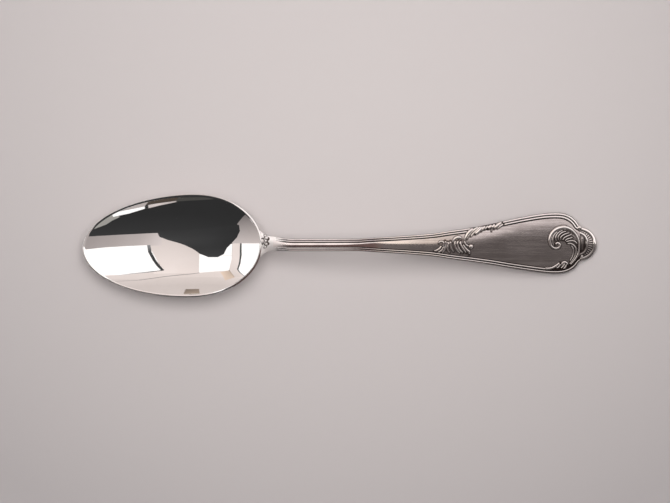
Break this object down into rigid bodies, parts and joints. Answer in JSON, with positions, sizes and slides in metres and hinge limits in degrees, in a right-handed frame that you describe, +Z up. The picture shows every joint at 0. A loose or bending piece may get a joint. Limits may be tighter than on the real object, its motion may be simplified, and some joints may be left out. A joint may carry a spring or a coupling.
{
  "type": "teaspoon",
  "caption": "Teaspoon lying face up, with an egg-shaped bowl, a ribbed stem and a threaded handle with leaves, a C-scroll and a shell.",
  "frame": {"origin": "middle of the spoon's plan, at the surface that it lies on", "axes": "+X along the spoon towards the handle's tip, +Y towards the edge with the leaves, +Z up out of the bowl"},
  "size_m": [0.137, 0.0276, 0.0129],
  "materials": {
    "mirror_silver": "silver plate, mirror polished",
    "satin_silver": "silver plate, worn satin with a light tarnish",
    "relief_silver": "silver plate, bright on the high places and dark in the recesses"
  },
  "bodies": {
    "root": {"bowl": "mirror_silver", "neck": "relief_silver", "neck_leaf": "relief_silver", "stem": "satin_silver", "blade": "satin_silver", "outer_thread_leafed": "relief_silver", "inner_thread_leafed": "relief_silver", "outer_thread_plain": "relief_silver", "inner_thread_plain": "relief_silver", "cross_leaves": "relief_silver", "leaf_bud": "relief_silver", "edge_leaves": "relief_silver", "c_scroll": "relief_silver", "scroll_leaves": "relief_silver", "scroll_foot": "relief_silver", "end_shell": "relief_silver"}
  },
  "joints": []
}
